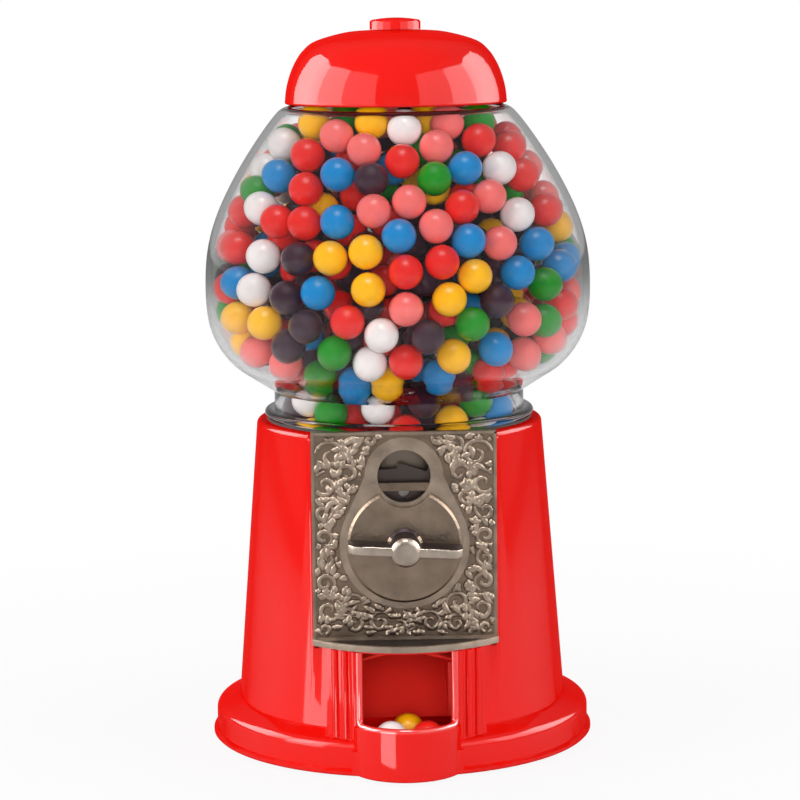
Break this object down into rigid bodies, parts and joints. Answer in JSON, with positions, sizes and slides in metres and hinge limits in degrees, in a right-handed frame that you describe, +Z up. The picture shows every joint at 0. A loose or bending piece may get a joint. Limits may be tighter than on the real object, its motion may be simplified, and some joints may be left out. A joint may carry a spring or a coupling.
{
  "type": "gumball machine",
  "caption": "Household gumball vending machine with a glass globe, a cast body, a coin mechanism turned by a handle, a chute and a lift-off lid.",
  "frame": {"origin": "on the machine's upright axis, on the table it stands on", "axes": "+Z up along the globe's axis, -Y towards the user, out of the coin plate"},
  "size_m": [0.188, 0.198, 0.3523],
  "materials": {
    "red_paint": "gloss",
    "red_plastic": "gloss",
    "black_rubber": "matte",
    "zinc": "satin",
    "steel": "satin",
    "cast_aluminium": "satin",
    "white_plastic": "matte",
    "black_plastic": "matte",
    "glass": "gloss",
    "gum_red": "gloss",
    "gum_pink": "gloss",
    "gum_yellow": "gloss",
    "gum_blue": "gloss",
    "gum_green": "gloss",
    "gum_white": "gloss",
    "gum_purple": "gloss"
  },
  "bodies": {
    "machine": {"base_casting": "red_paint", "foot_ring": "black_rubber", "bottom_plate": "steel", "bottom_screws": "steel", "chute": "red_plastic", "chute_cover": "red_plastic", "hopper_tray": "cast_aluminium", "tray_screws": "steel", "globe_gasket": "black_rubber", "globe": "glass", "wheel_spindle": "steel", "wheel_washer": "steel", "wheel_nut": "steel", "ball_guard": "steel", "guard_screws": "steel", "coin_plate": "zinc", "plate_screws": "steel", "mechanism_backplate": "steel", "mechanism_screws": "steel", "pawl_pivot": "steel", "pawl_spring": "steel", "gumballs_red": "gum_red", "gumballs_pink": "gum_pink", "gumballs_yellow": "gum_yellow", "gumballs_blue": "gum_blue", "gumballs_green": "gum_green", "gumballs_white": "gum_white", "gumballs_purple": "gum_purple", "chute_gumball_white": "gum_white", "chute_gumball_yellow": "gum_yellow", "chute_gumball_red": "gum_red"},
    "lid": {"lid_shell": "red_paint", "lid_knob": "red_paint", "lid_screw": "steel"},
    "crank": {"handle": "zinc", "handle_shaft": "steel", "coin_carrier": "zinc", "drive_pinion": "zinc", "pinion_nut": "steel"},
    "wheel": {"dispensing_wheel": "white_plastic"},
    "pawl": {"pawl": "steel"},
    "door": {"bank_door": "black_plastic"}
  },
  "joints": [
    {"name": "lid_lift", "type": "slide", "parent": "machine", "child": "lid", "axis": [0, 0, 1], "range_m": [0, 0.06]},
    {"name": "handle_turn", "type": "hinge", "parent": "machine", "child": "crank", "pos_m": [0, -0.07, 0.1072], "axis": [0, 1, 0], "continuous": true},
    {"name": "wheel_turn", "type": "hinge", "parent": "machine", "child": "wheel", "pos_m": [0, 0, 0.1245], "axis": [0, 0, 1], "continuous": true},
    {"name": "pawl_swing", "type": "hinge", "parent": "machine", "child": "pawl", "pos_m": [-0.034, -0.0646, 0.0727], "axis": [0, 1, 0], "range_deg": [-6, 3.5]},
    {"name": "door_turn", "type": "hinge", "parent": "machine", "child": "door", "pos_m": [0, 0.034, 0.004], "axis": [0, 0, 1], "range_deg": [0, 90]}
  ],
  "couplings": [
    {"joint": "wheel_turn", "follows": "handle_turn", "ratio": 0.16667}
  ]
}
